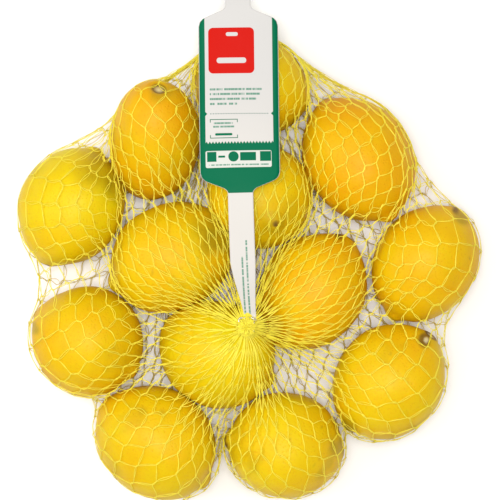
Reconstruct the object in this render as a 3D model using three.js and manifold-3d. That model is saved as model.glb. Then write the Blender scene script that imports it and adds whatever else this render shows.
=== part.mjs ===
// A net of thirteen lemons lying flat in one layer. The net is gathered into a metal clip at each end,
// and a printed tag runs from clip to clip, so that it is also the carrying loop.
// Millimetres, +Z up. The origin is the bottom centre of the whole object's box.
import * as THREE from 'three';
import Module from 'manifold-3d';
import { mergeVertices } from 'three/addons/utils/BufferGeometryUtils.js';

// ---------- driving dimensions ----------

const netThickness = 1.0;        // how far the netting stands off the fruit
const restGap = 0.8;             // netting between a lemon and the table
const skinBlend = 7.5;           // how softly the netting bridges from lemon to lemon
const middleHeight = 29;         // height of the middle of the single layer of fruit
const coreHalfHeight = 9;        // the netting spans the gaps this far from the middle height
const coreInset = 12;            // the core stays this far inside the ring of outer lemons

const bunchRadius = 2.7;         // netting squeezed together inside a clip
const tuftRadius = 4.6;          // cut end of the netting past the clip
const coneRadius = 17;           // foot of the cone in which the netting runs up to a clip
const coneLength = 15;
const clearance = 0.45;          // air kept between separate pieces

const clip = { width: 7.6, depth: 7.2, wall: 0.7, length: 4, corner: 1.5 };
const tuftLength = 7.5;          // past the clip
const frontGather = { x: -2.0, y: -41.4, z: 55 };     // where the clip starts on the front bunch
const endGather = { x: -5.4, y: 129, z: 27.5 };       // where the clip starts on the end bunch

const tag = {
  thickness: 0.5,
  bodyWidth: 43,
  neckWidth: 13.6,
  clippedWidth: 6.6,
  bodyStart: 31,                 // along Y
  bodyEnd: 131,
  shoulder: 11,                  // length of each curved shoulder
  plainEnd: 13,                  // length at the clipped width
  narrowing: 30,                 // length over which the neck narrows towards a clip
  loopEnd: 172,
};

const around = 72;               // divisions of the netting's skin
const faceRings = 10;
const rimRings = 8;

// Lemons as they lie: centre in plan, length, width, heading of the stem end and how far that end is raised.
const outerLemons = [
  { x: -52.9, y: 61.5, length: 78.0, width: 49.6, heading: 87, tilt: 36 },
  { x: 0.5, y: 92.0, length: 66.5, width: 56.5, heading: -16, tilt: -5 },
  { x: 60.5, y: 50.4, length: 75.0, width: 58.0, heading: 121, tilt: -8 },
  { x: 98.0, y: -7.3, length: 72.0, width: 56.5, heading: 58, tilt: 0 },
  { x: 77.6, y: -73.6, length: 73.0, width: 59.5, heading: 49, tilt: 15 },
  { x: 19.6, y: -109.5, length: 68.5, width: 58.5, heading: -8, tilt: -15 },
  { x: -52.1, y: -107.0, length: 75.5, width: 60.0, heading: 142, tilt: 0 },
  { x: -90.7, y: -51.0, length: 68.5, width: 60.0, heading: 150, tilt: -12 },
  { x: -99.6, y: 24.1, length: 72.0, width: 57.0, heading: -114, tilt: 0 },
];
const innerLemons = [
  { x: 6.2, y: 29.7, length: 63.0, width: 57.0, heading: 117, tilt: -57 },
  { x: -44.2, y: -3.9, length: 75.0, width: 59.5, heading: 24, tilt: 0 },
  { x: 35.3, y: -22.7, length: 73.4, width: 57.0, heading: 56, tilt: 5 },
  { x: -17.9, y: -58.2, length: 70.5, width: 59.4, heading: 152, tilt: 0 },
];

// ---------- joining solids ----------

const wasm = await Module();
wasm.setup();

function toSolid(geometry) {
  const bare = new THREE.BufferGeometry();
  bare.setAttribute('position', geometry.getAttribute('position').clone());
  if (geometry.index) bare.setIndex(geometry.index.clone());
  const welded = mergeVertices(bare, 1e-4);
  const mesh = new wasm.Mesh({
    numProp: 3,
    vertProperties: new Float32Array(welded.getAttribute('position').array),
    triVerts: new Uint32Array(welded.index.array),
  });
  return new wasm.Manifold(mesh);
}

function fromSolid(solid) {
  const { vertProperties, triVerts } = solid.getMesh();
  const geometry = new THREE.BufferGeometry();
  geometry.setAttribute('position', new THREE.BufferAttribute(new Float32Array(vertProperties), 3));
  geometry.setIndex(new THREE.BufferAttribute(new Uint32Array(triVerts), 1));
  geometry.computeVertexNormals();
  return geometry;
}

function colouredMesh(name, geometry, color, roughness, metalness) {
  const mesh = new THREE.Mesh(geometry, new THREE.MeshStandardMaterial({ color, roughness, metalness }));
  mesh.name = name;
  return mesh;
}

// ---------- lemons as ellipsoids ----------

const radians = THREE.MathUtils.degToRad;

function ellipsoid({ x, y, length, width, heading, tilt }) {
  const long = length / 2;
  const round = width / 2;
  const rise = radians(tilt);
  const turn = radians(heading);
  const flat = Math.cos(rise);
  const axis = new THREE.Vector3(flat * Math.cos(turn), flat * Math.sin(turn), Math.sin(rise));
  const halfHeight = Math.hypot(long * axis.z, round * flat);
  const lean = ((long ** 2 - round ** 2) * axis.z) / halfHeight;
  return {
    centre: new THREE.Vector3(x, y, halfHeight + restGap),
    lowest: new THREE.Vector2(x - lean * axis.x, y - lean * axis.y),
    axis,
    long,
    round,
  };
}

const lemons = [...outerLemons, ...innerLemons].map(ellipsoid);

// Distance from a point to a lemon's surface, negative inside.
function lemonDistance(lemon, point) {
  const offset = point.clone().sub(lemon.centre);
  const along = offset.dot(lemon.axis);
  const across = Math.sqrt(Math.max(offset.lengthSq() - along * along, 0));
  const scaled = Math.hypot(along / lemon.long, across / lemon.round);
  const slope = Math.hypot(along / lemon.long ** 2, across / lemon.round ** 2);
  return slope < 1e-9 ? -lemon.round : (scaled * (scaled - 1)) / slope;
}

// ---------- the core that fills the gaps between the lemons ----------

const ring = outerLemons.map(({ x, y }) => new THREE.Vector2(x, y));

function ringDistance(x, y) {
  const place = new THREE.Vector2(x, y);
  let nearest = Infinity;
  let inside = false;
  ring.forEach((a, i) => {
    const b = ring[(i + 1) % ring.length];
    const edge = b.clone().sub(a);
    const offset = place.clone().sub(a);
    const share = THREE.MathUtils.clamp(offset.dot(edge) / edge.lengthSq(), 0, 1);
    nearest = Math.min(nearest, offset.addScaledVector(edge, -share).length());
    if (a.y > y !== b.y > y && x < a.x + (edge.x * (y - a.y)) / edge.y) inside = !inside;
  });
  return inside ? -nearest : nearest;
}

function coreDistance(point) {
  const sideways = ringDistance(point.x, point.y) + coreInset;
  const upwards = Math.abs(point.z - middleHeight) - coreHalfHeight;
  return Math.hypot(Math.max(sideways, 0), Math.max(upwards, 0)) + Math.min(Math.max(sideways, upwards), 0);
}

// The netting's skin is a soft union of the lemons and the core.
function skinDistance(point) {
  let sum = Math.exp(-coreDistance(point) / skinBlend);
  for (const lemon of lemons) sum += Math.exp(-(lemonDistance(lemon, point) - netThickness) / skinBlend);
  return -skinBlend * Math.log(sum);
}

function skinAlong(start, direction) {
  const step = 1.5;
  const reach = 90;
  const at = (t) => start.clone().addScaledVector(direction, t);
  let outside = step;
  while (outside < reach && skinDistance(at(outside)) < 0) outside += step;
  let inside = outside - step;
  for (let i = 0; i < 12; i += 1) {
    const middle = (inside + outside) / 2;
    if (skinDistance(at(middle)) < 0) inside = middle;
    else outside = middle;
  }
  return at(inside);
}

// ---------- the tag's route: front clip, over the fruit, round the loop, end clip ----------

const beside = bunchRadius + clearance + tag.thickness / 2;
const tagRoute = new THREE.CatmullRomCurve3(
  [
    [frontGather.x, frontGather.y + beside, frontGather.z + clip.length + 1],
    [frontGather.x, frontGather.y + beside, frontGather.z + 2],
    [frontGather.x, frontGather.y + beside, frontGather.z + 0.2],
    [frontGather.x, frontGather.y + beside + 1.3, frontGather.z - 1.8],
    [-2.5, -31.0, 54.6],
    [-3.5, -14.0, 60.6],
    [-4.4, 8.0, 63.9],
    [-5.1, 30.0, 65.6],
    [-5.7, 60.0, 63.0],
    [-6.1, 93.0, 60.2],
    [-6.4, 120.0, 59.4],
    [-6.6, 138.0, 59.0],
    [-6.5, 155.0, 55.5],
    [-6.3, tag.loopEnd - 1, 47.0],
    [-6.1, tag.loopEnd - 5, 38.5],
    [-5.8, endGather.y + 26.0, endGather.z + 8.2],
    [endGather.x, endGather.y + 15.5, endGather.z + 6.8],
    [endGather.x, endGather.y + 11.1, endGather.z + 6.1],
    [endGather.x, endGather.y + 7.5, endGather.z + 4.7],
    [endGather.x, endGather.y + 4.9, endGather.z + beside + 0.2],
    [endGather.x, endGather.y + 2.5, endGather.z + beside],
    [endGather.x, endGather.y - 1.1, endGather.z + beside],
  ].map((p) => new THREE.Vector3(...p)),
  false,
  'centripetal',
);

const tagSteps = 96;
const tagLength = tagRoute.getLength();
const stations = Array.from({ length: tagSteps + 1 }, (_, i) => {
  const point = tagRoute.getPointAt(i / tagSteps);
  const along = tagRoute.getTangentAt(i / tagSteps);
  const across = new THREE.Vector3(1, 0, 0).addScaledVector(along, -along.x).normalize();
  return { point, across, normal: new THREE.Vector3().crossVectors(along, across) };
});
const turn = stations.reduce((far, { point }, i) => (point.y > stations[far].point.y ? i : far), 0);

function tagWidth(index) {
  const fromEnd = (Math.min(index, tagSteps - index) / tagSteps) * tagLength;
  const opened = THREE.MathUtils.smoothstep(fromEnd, tag.plainEnd, tag.plainEnd + tag.narrowing);
  const neck = THREE.MathUtils.lerp(tag.clippedWidth, tag.neckWidth, opened);
  if (index > turn) return neck;
  const { y } = stations[index].point;
  const intoBody = Math.min(y - tag.bodyStart, tag.bodyEnd - y);
  return THREE.MathUtils.lerp(neck, tag.bodyWidth, THREE.MathUtils.smoothstep(intoBody, 0, tag.shoulder));
}

function tagGeometry() {
  const strip = new THREE.BoxGeometry(1, 1, tagSteps, 1, 1, tagSteps);
  const position = strip.getAttribute('position');
  for (let i = 0; i < position.count; i += 1) {
    const index = Math.round(position.getZ(i) + tagSteps / 2);
    const { point, across, normal } = stations[index];
    const placed = point
      .clone()
      .addScaledVector(across, position.getX(i) * tagWidth(index))
      .addScaledVector(normal, position.getY(i) * tag.thickness);
    position.setXYZ(i, placed.x, placed.y, placed.z);
  }
  return mergeVertices(strip.deleteAttribute('normal').deleteAttribute('uv'), 1e-4);
}

// The netting stays under the tag that is drawn tight over it.
function underTag(place) {
  const margin = 12;
  const reach = 9;
  let ceiling = Infinity;
  stations.slice(0, turn).forEach(({ point }, index) => {
    const aside = Math.abs(point.x - place.x) - tagWidth(index) / 2;
    if (Math.abs(point.y - place.y) > reach || aside > margin) return;
    ceiling = Math.min(ceiling, point.z - tag.thickness / 2 - clearance);
  });
  place.z = Math.min(place.z, ceiling);
  return place;
}

// ---------- the net bag: a skin round the fruit, a cone and bunch at each gathered end ----------

const skinCentre = new THREE.Vector2(0, -22);

function coreReach(direction) {
  let reach = 0;
  const at = (t) => ringDistance(skinCentre.x + direction.x * t, skinCentre.y + direction.y * t);
  while (at(reach) < -coreInset - 6) reach += 0.5;
  return reach;
}

const spokes = Array.from({ length: around }, (_, i) => {
  const angle = (i / around) * 2 * Math.PI;
  const outwards = new THREE.Vector3(Math.cos(angle), Math.sin(angle), 0);
  return { outwards, reach: coreReach(outwards) };
});

function skinRing(share, elevation) {
  return spokes.map(({ outwards, reach }) => {
    const start = new THREE.Vector3(skinCentre.x, skinCentre.y, middleHeight);
    start.addScaledVector(outwards, reach * share);
    const direction = outwards.clone().multiplyScalar(Math.cos(elevation)).setZ(Math.sin(elevation));
    const found = underTag(skinAlong(start, direction));
    found.z = Math.max(found.z, 0);
    return found;
  });
}

function skinSolid() {
  const shares = Array.from({ length: faceRings }, (_, i) => (i + 1) / faceRings);
  const rimStep = Math.PI / (rimRings + 1);
  const rings = [
    ...shares.map((share) => skinRing(share, Math.PI / 2)),
    ...Array.from({ length: rimRings }, (_, i) => skinRing(1, Math.PI / 2 - (i + 1) * rimStep)),
    ...shares.reverse().map((share) => skinRing(share, -Math.PI / 2)),
  ];
  const centre = new THREE.Vector3(skinCentre.x, skinCentre.y, middleHeight);
  const top = skinAlong(centre, new THREE.Vector3(0, 0, 1));
  const bottom = skinAlong(centre, new THREE.Vector3(0, 0, -1));
  const sheet = new THREE.SphereGeometry(1, around, rings.length + 1);
  const position = sheet.getAttribute('position');
  for (let i = 0; i < position.count; i += 1) {
    const row = Math.floor(i / (around + 1));
    const column = (i % (around + 1)) % around;
    let place = top;
    if (row > rings.length) place = bottom;
    else if (row > 0) place = rings[row - 1][column];
    position.setXYZ(i, place.x, place.y, place.z);
  }
  return toSolid(sheet);
}

// Netting that runs up a cone, through a clip at height 0, and out into a cut tuft.
function bunchGeometry() {
  const past = clip.length + 0.8;
  const profile = [
    [0, -coneLength],
    [coneRadius, -coneLength],
    [coneRadius * 0.55, -coneLength * 0.55],
    [bunchRadius + 1.6, -3.4],
    [bunchRadius, -0.6],
    [bunchRadius, past],
    [bunchRadius + 0.4, past + 1.6],
    [tuftRadius, past + tuftLength - 2.4],
    [tuftRadius * 0.8, past + tuftLength - 0.8],
    [0, past + tuftLength],
  ].map(([radius, height]) => new THREE.Vector2(radius, height));
  return new THREE.LatheGeometry(profile, 20).rotateX(Math.PI / 2);
}

// A small flat spot under each lemon, on which the net rests.
function restSpotGeometry({ lowest }) {
  const profile = [[0, 0], [5, 0], [9, 3.5], [0, 3.5]].map(([radius, height]) => new THREE.Vector2(radius, height));
  return new THREE.LatheGeometry(profile, 14).rotateX(Math.PI / 2).translate(lowest.x, lowest.y, 0);
}

function netBagGeometry() {
  const front = bunchGeometry().translate(frontGather.x, frontGather.y, frontGather.z);
  const end = bunchGeometry().rotateX(-Math.PI / 2).translate(endGather.x, endGather.y, endGather.z);
  let bag = skinSolid().add(toSolid(front)).add(toSolid(end));
  for (const lemon of lemons) bag = bag.add(toSolid(restSpotGeometry(lemon)));
  return fromSolid(bag);
}

// ---------- metal clips ----------

function roundedRectangle(outline, width, height, corner) {
  const w = width / 2 - corner;
  const h = height / 2 - corner;
  outline.absarc(w, -h, corner, -Math.PI / 2, 0, false);
  outline.absarc(w, h, corner, 0, Math.PI / 2, false);
  outline.absarc(-w, h, corner, Math.PI / 2, Math.PI, false);
  outline.absarc(-w, -h, corner, Math.PI, Math.PI * 1.5, false);
  outline.closePath();
  return outline;
}

function clipGeometry() {
  const { width, depth, wall, length, corner } = clip;
  const outline = roundedRectangle(new THREE.Shape(), width + 2 * wall, depth + 2 * wall, corner);
  outline.holes.push(roundedRectangle(new THREE.Path(), width, depth, corner - wall));
  const band = new THREE.ExtrudeGeometry(outline, { depth: length, bevelEnabled: false, curveSegments: 3 });
  return band.translate(0, depth / 2 - bunchRadius - clearance, 0);
}

// ---------- assembly ----------

const frontClip = clipGeometry().translate(frontGather.x, frontGather.y, frontGather.z);
const endClip = clipGeometry().rotateX(-Math.PI / 2).rotateY(Math.PI);
endClip.translate(endGather.x, endGather.y, endGather.z);

const pieces = new THREE.Group();
pieces.add(
  colouredMesh('net_bag', netBagGeometry(), 0xf0b90c, 0.5, 0),
  colouredMesh('tag', tagGeometry(), 0xe9e6e1, 0.45, 0),
  colouredMesh('front_clip', frontClip, 0xb8b8b4, 0.3, 1),
  colouredMesh('end_clip', endClip, 0xb8b8b4, 0.3, 1),
);

const box = new THREE.Box3().setFromObject(pieces);
const middle = box.getCenter(new THREE.Vector3());
pieces.position.set(-middle.x, -middle.y, -box.min.z);

const group = new THREE.Group();
group.add(pieces);

export default group;
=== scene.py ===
import math
import random

import bmesh
import bpy
import numpy as np
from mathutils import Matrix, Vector, noise
from mathutils.bvhtree import BVHTree


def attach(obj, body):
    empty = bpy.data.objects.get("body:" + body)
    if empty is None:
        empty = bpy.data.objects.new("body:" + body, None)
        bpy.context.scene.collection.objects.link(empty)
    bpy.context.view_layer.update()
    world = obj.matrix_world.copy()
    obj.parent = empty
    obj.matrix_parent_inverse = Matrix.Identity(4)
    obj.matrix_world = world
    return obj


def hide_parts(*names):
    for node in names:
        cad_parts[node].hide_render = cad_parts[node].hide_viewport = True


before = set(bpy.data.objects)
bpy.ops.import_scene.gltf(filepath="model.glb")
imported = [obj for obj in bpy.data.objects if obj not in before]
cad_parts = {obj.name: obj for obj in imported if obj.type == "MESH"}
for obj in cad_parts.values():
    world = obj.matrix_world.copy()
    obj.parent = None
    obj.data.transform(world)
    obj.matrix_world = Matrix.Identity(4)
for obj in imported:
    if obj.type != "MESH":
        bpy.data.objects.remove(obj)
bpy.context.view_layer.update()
scene = bpy.context.scene
seeded = random.Random(11)


def fromSrgb(colour):
    linear = [c / 255 / 12.92 if c <= 10 else ((c / 255 + 0.055) / 1.055) ** 2.4 for c in colour]
    return (*linear, 1.0)


# Shift from the plan below to the shared frame.
plan = {"shiftX": 0.281, "shiftY": -15.502}


def toScene(points):
    moved = np.asarray(points, dtype=float) + np.array([plan["shiftX"], plan["shiftY"], 0.0])
    return moved / 1000


def addPiece(name, mesh, material, slot, *nodes):
    piece = bpy.data.objects.new(name, mesh)
    scene.collection.objects.link(piece)
    mesh.materials.clear()
    mesh.materials.append(material)
    mesh.shade_smooth()
    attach(piece, "root")
    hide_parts(*nodes)
    return piece


def smoothStep(value, low, high):
    share = np.clip((value - low) / (high - low), 0, 1)
    return share * share * (3 - 2 * share)


def splinePoints(controls, count):
    # Centripetal Catmull-Rom through the controls, then even spacing along it.
    points = np.array(controls, dtype=float)
    points = np.vstack([2 * points[0] - points[1], points, 2 * points[-1] - points[-2]])
    fine = []
    for a, b, c, d in zip(points[:-3], points[1:-2], points[2:-1], points[3:]):
        ta = 0.0
        tb = ta + np.linalg.norm(b - a) ** 0.5
        tc = tb + np.linalg.norm(c - b) ** 0.5
        td = tc + np.linalg.norm(d - c) ** 0.5
        for t in np.linspace(tb, tc, 24, endpoint=False):
            ab = a * (tb - t) / (tb - ta) + b * (t - ta) / (tb - ta)
            bc = b * (tc - t) / (tc - tb) + c * (t - tb) / (tc - tb)
            cd = c * (td - t) / (td - tc) + d * (t - tc) / (td - tc)
            abc = ab * (tc - t) / (tc - ta) + bc * (t - ta) / (tc - ta)
            bcd = bc * (td - t) / (td - tb) + cd * (t - tb) / (td - tb)
            fine.append(abc * (tc - t) / (tc - tb) + bcd * (t - tb) / (tc - tb))
    fine.append(points[-2])
    fine = np.array(fine)
    length = np.concatenate([[0], np.cumsum(np.linalg.norm(np.diff(fine, axis=0), axis=1))])
    even = np.linspace(0, length[-1], count)
    return np.stack([np.interp(even, length, fine[:, k]) for k in range(3)], axis=1), even


def addNode(tree, kind, inputs=None, **settings):
    made = tree.nodes.new(kind)
    for name, value in settings.items():
        setattr(made, name, value)
    for name, value in (inputs or {}).items():  # a socket is linked, a number or colour is set
        if isinstance(value, bpy.types.NodeSocket):
            tree.links.new(value, made.inputs[name])
        else:
            made.inputs[name].default_value = value
    return made


def maths(tree, operation, first, second=0.0, clamp=False):
    made = addNode(tree, "ShaderNodeMath", {0: first, 1: second}, operation=operation, use_clamp=clamp)
    return made.outputs[0]


def mixColour(tree, share, first, second):
    made = addNode(tree, "ShaderNodeMix", {0: share, 6: first, 7: second}, data_type="RGBA")
    return made.outputs[2]


def newMaterial(name):
    material = bpy.data.materials.new(name)
    material.use_nodes = True
    tree = material.node_tree
    shader = tree.nodes["Principled BSDF"]
    return material, tree, shader


def newGroup(name, inputs, outputs):
    group = bpy.data.node_groups.new(name, "ShaderNodeTree")
    for label, kind, value in inputs:
        socket = group.interface.new_socket(label, in_out="INPUT", socket_type=kind)
        if value is not None:
            socket.default_value = value
    for label, kind in outputs:
        group.interface.new_socket(label, in_out="OUTPUT", socket_type=kind)
    entry = group.nodes.new("NodeGroupInput")
    leave = group.nodes.new("NodeGroupOutput")
    return group, entry, leave


def useGroup(tree, group, inputs):
    return addNode(tree, "ShaderNodeGroup", inputs, node_tree=group)


def makeGrainGroup():
    # Soft blotches and fine grain, with a bumped normal.
    group, entry, leave = newGroup(
        "surfaceGrain",
        [
            ("blotchSize", "NodeSocketFloat", 20.0),
            ("grainSize", "NodeSocketFloat", 400.0),
            ("bumpHeight", "NodeSocketFloat", 0.0002),
        ],
        [("blotch", "NodeSocketFloat"), ("grain", "NodeSocketFloat"), ("normal", "NodeSocketVector")],
    )
    place = group.nodes.new("ShaderNodeTexCoord").outputs["Object"]
    blotch = addNode(group, "ShaderNodeTexNoise", {"Vector": place, "Scale": entry.outputs[0], "Detail": 3.0})
    grain = addNode(group, "ShaderNodeTexNoise", {"Vector": place, "Scale": entry.outputs[1], "Detail": 2.0})
    bump = addNode(
        group,
        "ShaderNodeBump",
        {"Height": grain.outputs["Fac"], "Distance": entry.outputs[2], "Strength": 0.6},
    )
    group.links.new(blotch.outputs["Fac"], leave.inputs[0])
    group.links.new(grain.outputs["Fac"], leave.inputs[1])
    group.links.new(bump.outputs["Normal"], leave.inputs[2])
    return group


def makeRoundBoxGroup():
    # One where a place is inside a rounded box, zero outside.
    group, entry, leave = newGroup(
        "roundBox",
        [
            ("place", "NodeSocketVector", None),
            ("centre", "NodeSocketVector", None),
            ("half", "NodeSocketVector", None),
            ("corner", "NodeSocketFloat", 0.5),
        ],
        [("inside", "NodeSocketFloat")],
    )
    offset = addNode(
        group, "ShaderNodeVectorMath", {0: entry.outputs[0], 1: entry.outputs[1]}, operation="SUBTRACT"
    )
    folded = addNode(group, "ShaderNodeVectorMath", {0: offset.outputs[0]}, operation="ABSOLUTE")
    inner = addNode(
        group, "ShaderNodeVectorMath", {0: folded.outputs[0], 1: entry.outputs[2]}, operation="SUBTRACT"
    )
    padded = addNode(
        group, "ShaderNodeVectorMath", {0: inner.outputs[0], 1: entry.outputs[3]}, operation="ADD"
    )
    outer = addNode(group, "ShaderNodeVectorMath", {0: padded.outputs[0], 1: (0, 0, 0)}, operation="MAXIMUM")
    length = addNode(group, "ShaderNodeVectorMath", {0: outer.outputs[0]}, operation="LENGTH")
    split = addNode(group, "ShaderNodeSeparateXYZ", {0: padded.outputs[0]})
    most = maths(group, "MAXIMUM", split.outputs[0], split.outputs[1])
    within = maths(group, "MINIMUM", most, 0.0)
    total = maths(group, "ADD", length.outputs["Value"], within)
    distance = maths(group, "SUBTRACT", total, entry.outputs[3])
    edge = maths(group, "MULTIPLY", distance, -12.0)
    group.links.new(maths(group, "ADD", edge, 0.5, clamp=True), leave.inputs[0])
    return group


grainGroup = makeGrainGroup()
roundBoxGroup = makeRoundBoxGroup()
print("shader groups made")

lemonPeel = {
    "pale": (222, 199, 8),
    "warm": (222, 157, 0),
    "olive": (156, 132, 12),
    "brown": (104, 74, 30),
    # Pale stem button colour: partly the button's own colour, partly a painted highlight on it.
    "scarAndHighlight": (224, 212, 166),
    "rings": 72,
    "divisions": 88,
    "unevenness": 0.9,
    "poreSize": 1.5,
    "roughness": 0.4,
}


def makePeelMaterial():
    material, tree, shader = newMaterial("lemonPeel")
    grain = useGroup(tree, grainGroup, {"blotchSize": 38.0, "grainSize": 900.0, "bumpHeight": 0.00005})
    place = tree.nodes.new("ShaderNodeTexCoord").outputs["Object"]
    poreScale = 1000 / lemonPeel["poreSize"]
    pores = addNode(tree, "ShaderNodeTexVoronoi", {"Vector": place, "Scale": poreScale}, feature="SMOOTH_F1")
    pits = maths(tree, "SUBTRACT", 1.0, maths(tree, "MULTIPLY", pores.outputs["Distance"], 2.2), clamp=True)
    pits = maths(tree, "POWER", pits, 2.0)
    warmth = addNode(tree, "ShaderNodeAttribute", attribute_name="warmth").outputs["Fac"]
    olive = addNode(tree, "ShaderNodeAttribute", attribute_name="olive").outputs["Fac"]
    scarAndHighlight = addNode(tree, "ShaderNodeAttribute", attribute_name="scarAndHighlight").outputs["Fac"]
    brown = addNode(tree, "ShaderNodeAttribute", attribute_name="brown").outputs["Fac"]
    wander = maths(tree, "MULTIPLY", maths(tree, "SUBTRACT", grain.outputs["blotch"], 0.5), 0.9)
    share = maths(tree, "ADD", warmth, wander, clamp=True)
    colour = mixColour(tree, share, fromSrgb(lemonPeel["pale"]), fromSrgb(lemonPeel["warm"]))
    colour = mixColour(tree, maths(tree, "MULTIPLY", pits, 0.3), colour, fromSrgb((206, 132, 0)))
    freckle = addNode(tree, "ShaderNodeTexNoise", {"Vector": place, "Scale": 260.0, "Detail": 4.0})
    oliveEdge = maths(tree, "MULTIPLY", maths(tree, "SUBTRACT", freckle.outputs["Fac"], 0.5), 0.5)
    oliveShare = maths(tree, "MULTIPLY", maths(tree, "ADD", oliveEdge, 1.0), olive, clamp=True)
    colour = mixColour(tree, oliveShare, colour, fromSrgb(lemonPeel["olive"]))
    brownEdge = maths(tree, "MULTIPLY", maths(tree, "ADD", oliveEdge, 1.0), brown, clamp=True)
    colour = mixColour(tree, brownEdge, colour, fromSrgb(lemonPeel["brown"]))
    # Stem button mixed pale: partly its own colour, partly a painted highlight.
    colour = mixColour(tree, scarAndHighlight, colour, fromSrgb(lemonPeel["scarAndHighlight"]))
    tree.links.new(colour, shader.inputs["Base Color"])
    rough = maths(tree, "MULTIPLY", grain.outputs["blotch"], 0.16)
    tree.links.new(maths(tree, "ADD", rough, lemonPeel["roughness"]), shader.inputs["Roughness"])
    bump = addNode(
        tree,
        "ShaderNodeBump",
        {"Height": pits, "Distance": 0.0003, "Strength": 0.65, "Normal": grain.outputs["normal"]},
        invert=True,
    )
    tree.links.new(bump.outputs["Normal"], shader.inputs["Normal"])
    shader.inputs["Subsurface Weight"].default_value = 0.18
    shader.inputs["Subsurface Radius"].default_value = (1.0, 0.5, 0.08)
    shader.inputs["Subsurface Scale"].default_value = 0.003
    shader.inputs["Specular IOR Level"].default_value = 0.16
    return material


peelMaterial = makePeelMaterial()

# Plan position, length, width, heading of the stem end, how far that end is raised, warmth of the yellow,
# how green the stem end and blossom end are.
lemonTable = [
    {"x": -52.9, "y": 60.0, "length": 75.0, "width": 50.4, "heading": 80, "tilt": 41,
     "warmth": 0.65, "green": 0.1, "blunt": 0.34},
    {"x": 0.5, "y": 92.0, "length": 66.5, "width": 56.5, "heading": -16, "tilt": -5,
     "warmth": 0.4, "green": 0.4},
    {"x": 60.5, "y": 50.6, "length": 79.0, "width": 59.5, "heading": 119, "tilt": -8,
     "warmth": 0.8, "green": 0.15},
    {"x": 98.0, "y": -7.3, "length": 72.0, "width": 56.5, "heading": 58, "tilt": 0,
     "warmth": 0.55, "green": 0.2},
    {"x": 77.6, "y": -73.6, "length": 73.0, "width": 59.5, "heading": 49, "tilt": 15,
     "warmth": 0.4, "green": 0.5},
    {"x": 19.6, "y": -109.5, "length": 68.5, "width": 58.5, "heading": -8, "tilt": -15,
     "warmth": 0.32, "green": 0.6},
    {"x": -52.1, "y": -107.0, "length": 75.5, "width": 60.0, "heading": 142, "tilt": 0,
     "warmth": 0.42, "green": 0.4},
    {"x": -90.7, "y": -51.0, "length": 68.5, "width": 60.0, "heading": 150, "tilt": -12,
     "warmth": 0.5, "green": 0.3},
    {"x": -99.6, "y": 24.1, "length": 72.0, "width": 57.0, "heading": -114, "tilt": 0,
     "warmth": 0.2, "green": 0.3},
    {"x": 6.2, "y": 29.7, "length": 63.0, "width": 57.0, "heading": 117, "tilt": -57,
     "warmth": 0.38, "green": 0.35},
    {"x": -44.2, "y": -3.9, "length": 75.0, "width": 59.5, "heading": 24, "tilt": 0,
     "warmth": 0.42, "green": 0.5},
    {"x": 35.3, "y": -22.7, "length": 73.4, "width": 57.0, "heading": 56, "tilt": 5,
     "warmth": 0.65, "green": 0.1},
    {"x": -17.9, "y": -58.2, "length": 70.5, "width": 59.4, "heading": 152, "tilt": 0,
     "warmth": 0.2, "green": 0.2},
]

# Blemishes, and on lemon 11 a painted shadow of the tag, placed in plan: how far each reaches and how strong
# it is.
peelMarks = [
    {"lemon": 9, "kind": "olive", "x": -79.0, "y": 44.0, "size": 20.0, "strength": 0.55},
    {"lemon": 9, "kind": "olive", "x": -70.0, "y": 34.0, "size": 12.0, "strength": 0.25},
    {"lemon": 9, "kind": "brown", "x": -113.5, "y": -9.5, "size": 2.0, "strength": 0.9},
    {"lemon": 4, "kind": "brown", "x": 114.5, "y": 22.5, "size": 3.4, "strength": 0.85},
    {"lemon": 4, "kind": "olive", "x": 117.0, "y": 18.0, "size": 6.0, "strength": 0.6},
    {"lemon": 5, "kind": "brown", "x": 96.0, "y": -49.5, "size": 5.0, "strength": 0.85},
    # This pale disc on lemon 5 is partly its own colour and partly a painted highlight.
    {"lemon": 5, "kind": "scarAndHighlight", "x": 97.2, "y": -49.6, "size": 1.8, "strength": 0.8},
    {"lemon": 5, "kind": "olive", "x": 54.5, "y": -98.0, "size": 6.5, "strength": 0.55},
    {"lemon": 12, "kind": "brown", "x": 49.5, "y": 8.0, "size": 3.0, "strength": 0.8},
    {"lemon": 10, "kind": "brown", "x": 14.0, "y": 13.2, "size": 1.4, "strength": 0.5},
    {"lemon": 10, "kind": "olive", "x": 14.0, "y": 14.5, "size": 9.0, "strength": 0.22},
    {"lemon": 8, "kind": "olive", "x": -119.5, "y": -43.5, "size": 4.5, "strength": 0.6},
    {"lemon": 7, "kind": "brown", "x": -59.0, "y": -88.0, "size": 3.4, "strength": 0.22},
    {"lemon": 7, "kind": "brown", "x": -48.0, "y": -89.0, "size": 2.6, "strength": 0.22},
    {"lemon": 6, "kind": "brown", "x": -14.5, "y": -108.5, "size": 3.6, "strength": 0.9},
    {"lemon": 6, "kind": "olive", "x": 49.6, "y": -109.4, "size": 7.0, "strength": 0.5},
    # On lemon 11 this olive mark is partly real olive peel and partly painted shadow of the tag.
    {"lemon": 11, "kind": "olive", "x": -17.5, "y": 8.0, "size": 17.0, "strength": 0.75},
    {"lemon": 11, "kind": "brown", "x": -78.5, "y": -13.0, "size": 2.2, "strength": 0.8},
    {"lemon": 1, "kind": "olive", "x": -49.0, "y": 86.5, "size": 9.0, "strength": 0.45},
]

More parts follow.
